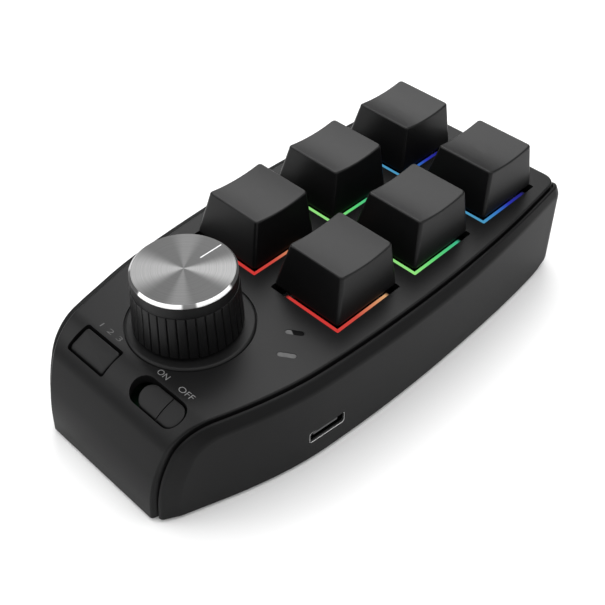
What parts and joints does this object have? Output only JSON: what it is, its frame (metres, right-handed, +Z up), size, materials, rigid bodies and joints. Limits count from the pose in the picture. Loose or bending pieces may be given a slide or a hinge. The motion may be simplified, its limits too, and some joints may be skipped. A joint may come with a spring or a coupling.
{
  "type": "macro keypad",
  "caption": "Small macro keypad with lit keys, a push knob, a layer button and a power slide switch.",
  "frame": {"origin": "under the middle of the body, on the surface it stands on", "axes": "+X towards the side with the port, +Y from the knob to the keys, +Z up"},
  "size_m": [0.0606, 0.1228, 0.0395],
  "materials": {
    "cover_plastic": "fine matt, moulded",
    "shell_plastic": "fine matt, moulded",
    "key_plastic": "smooth matt",
    "knob_plastic": "satin",
    "knob_metal": "spun, with a cut bevel",
    "port_metal": "bright",
    "steel": "plain",
    "rubber": "matt",
    "black_plastic": "moulded",
    "stem_plastic": "smooth",
    "board": "solder mask",
    "battery_foil": "foil pouch",
    "lens": "clouded",
    "light": "lit from below"
  },
  "bodies": {
    "root": {"top_cover": "cover_plastic", "side_shell_right": "shell_plastic", "side_shell_left": "shell_plastic", "bottom_cover": "shell_plastic", "case_screws": "steel", "rubber_feet": "rubber", "switch_plate": "steel", "main_board": "board", "usb_board": "board", "battery": "battery_foil", "usb_shell": "port_metal", "usb_tongue": "black_plastic", "knob_ring": "cover_plastic", "encoder_base": "steel", "encoder_nut": "steel", "layer_switch": "black_plastic", "power_switch": "steel", "indicator_lenses": "lens", "switch_spring_1": "steel", "switch_top_1": "black_plastic", "switch_base_1": "black_plastic", "light_guide_1": "light", "switch_spring_2": "steel", "switch_top_2": "black_plastic", "switch_base_2": "black_plastic", "light_guide_2": "light", "switch_spring_3": "steel", "switch_top_3": "black_plastic", "switch_base_3": "black_plastic", "light_guide_3": "light", "switch_spring_4": "steel", "switch_top_4": "black_plastic", "switch_base_4": "black_plastic", "light_guide_4": "light", "switch_spring_5": "steel", "switch_top_5": "black_plastic", "switch_base_5": "black_plastic", "light_guide_5": "light", "switch_spring_6": "steel", "switch_top_6": "black_plastic", "switch_base_6": "black_plastic", "light_guide_6": "light"},
    "key_1": {"keycap_1": "key_plastic", "switch_stem_1": "stem_plastic"},
    "key_2": {"keycap_2": "key_plastic", "switch_stem_2": "stem_plastic"},
    "key_3": {"keycap_3": "key_plastic", "switch_stem_3": "stem_plastic"},
    "key_4": {"keycap_4": "key_plastic", "switch_stem_4": "stem_plastic"},
    "key_5": {"keycap_5": "key_plastic", "switch_stem_5": "stem_plastic"},
    "key_6": {"keycap_6": "key_plastic", "switch_stem_6": "stem_plastic"},
    "knob_push": {"encoder_plunger": "black_plastic"},
    "knob": {"knob_body": "knob_plastic", "knob_cap": "knob_metal", "encoder_shaft": "steel"},
    "layer_key": {"layer_button": "cover_plastic"},
    "power_key": {"power_slider": "cover_plastic"}
  },
  "joints": [
    {"name": "key_1_press", "type": "slide", "parent": "root", "child": "key_1", "axis": [0, 0, 1], "range_m": [-0.004, 0], "stiffness_N_per_m": 120, "springref_m": 0.0025, "deforming": ["switch_spring_1"]},
    {"name": "key_2_press", "type": "slide", "parent": "root", "child": "key_2", "axis": [0, 0, 1], "range_m": [-0.004, 0], "stiffness_N_per_m": 120, "springref_m": 0.0025, "deforming": ["switch_spring_2"]},
    {"name": "key_3_press", "type": "slide", "parent": "root", "child": "key_3", "axis": [0, 0, 1], "range_m": [-0.004, 0], "stiffness_N_per_m": 120, "springref_m": 0.0025, "deforming": ["switch_spring_3"]},
    {"name": "key_4_press", "type": "slide", "parent": "root", "child": "key_4", "axis": [0, 0, 1], "range_m": [-0.004, 0], "stiffness_N_per_m": 120, "springref_m": 0.0025, "deforming": ["switch_spring_4"]},
    {"name": "key_5_press", "type": "slide", "parent": "root", "child": "key_5", "axis": [0, 0, 1], "range_m": [-0.004, 0], "stiffness_N_per_m": 120, "springref_m": 0.0025, "deforming": ["switch_spring_5"]},
    {"name": "key_6_press", "type": "slide", "parent": "root", "child": "key_6", "axis": [0, 0, 1], "range_m": [-0.004, 0], "stiffness_N_per_m": 120, "springref_m": 0.0025, "deforming": ["switch_spring_6"]},
    {"name": "knob_press", "type": "slide", "parent": "root", "child": "knob_push", "axis": [0, 0, 1], "range_m": [-0.0005, 0], "stiffness_N_per_m": 3000, "springref_m": 0.0003},
    {"name": "knob_turn", "type": "hinge", "parent": "knob_push", "child": "knob", "pos_m": [-0.00174, -0.0344, 0.0247], "axis": [0, 0, 1], "continuous": true},
    {"name": "layer_press", "type": "slide", "parent": "root", "child": "layer_key", "axis": [0, 0, 1], "range_m": [-0.0005, 0], "stiffness_N_per_m": 2500, "springref_m": 0.0002},
    {"name": "power_slide", "type": "slide", "parent": "root", "child": "power_key", "axis": [1, 0, 0], "range_m": [-0.0019, 0]}
  ]
}
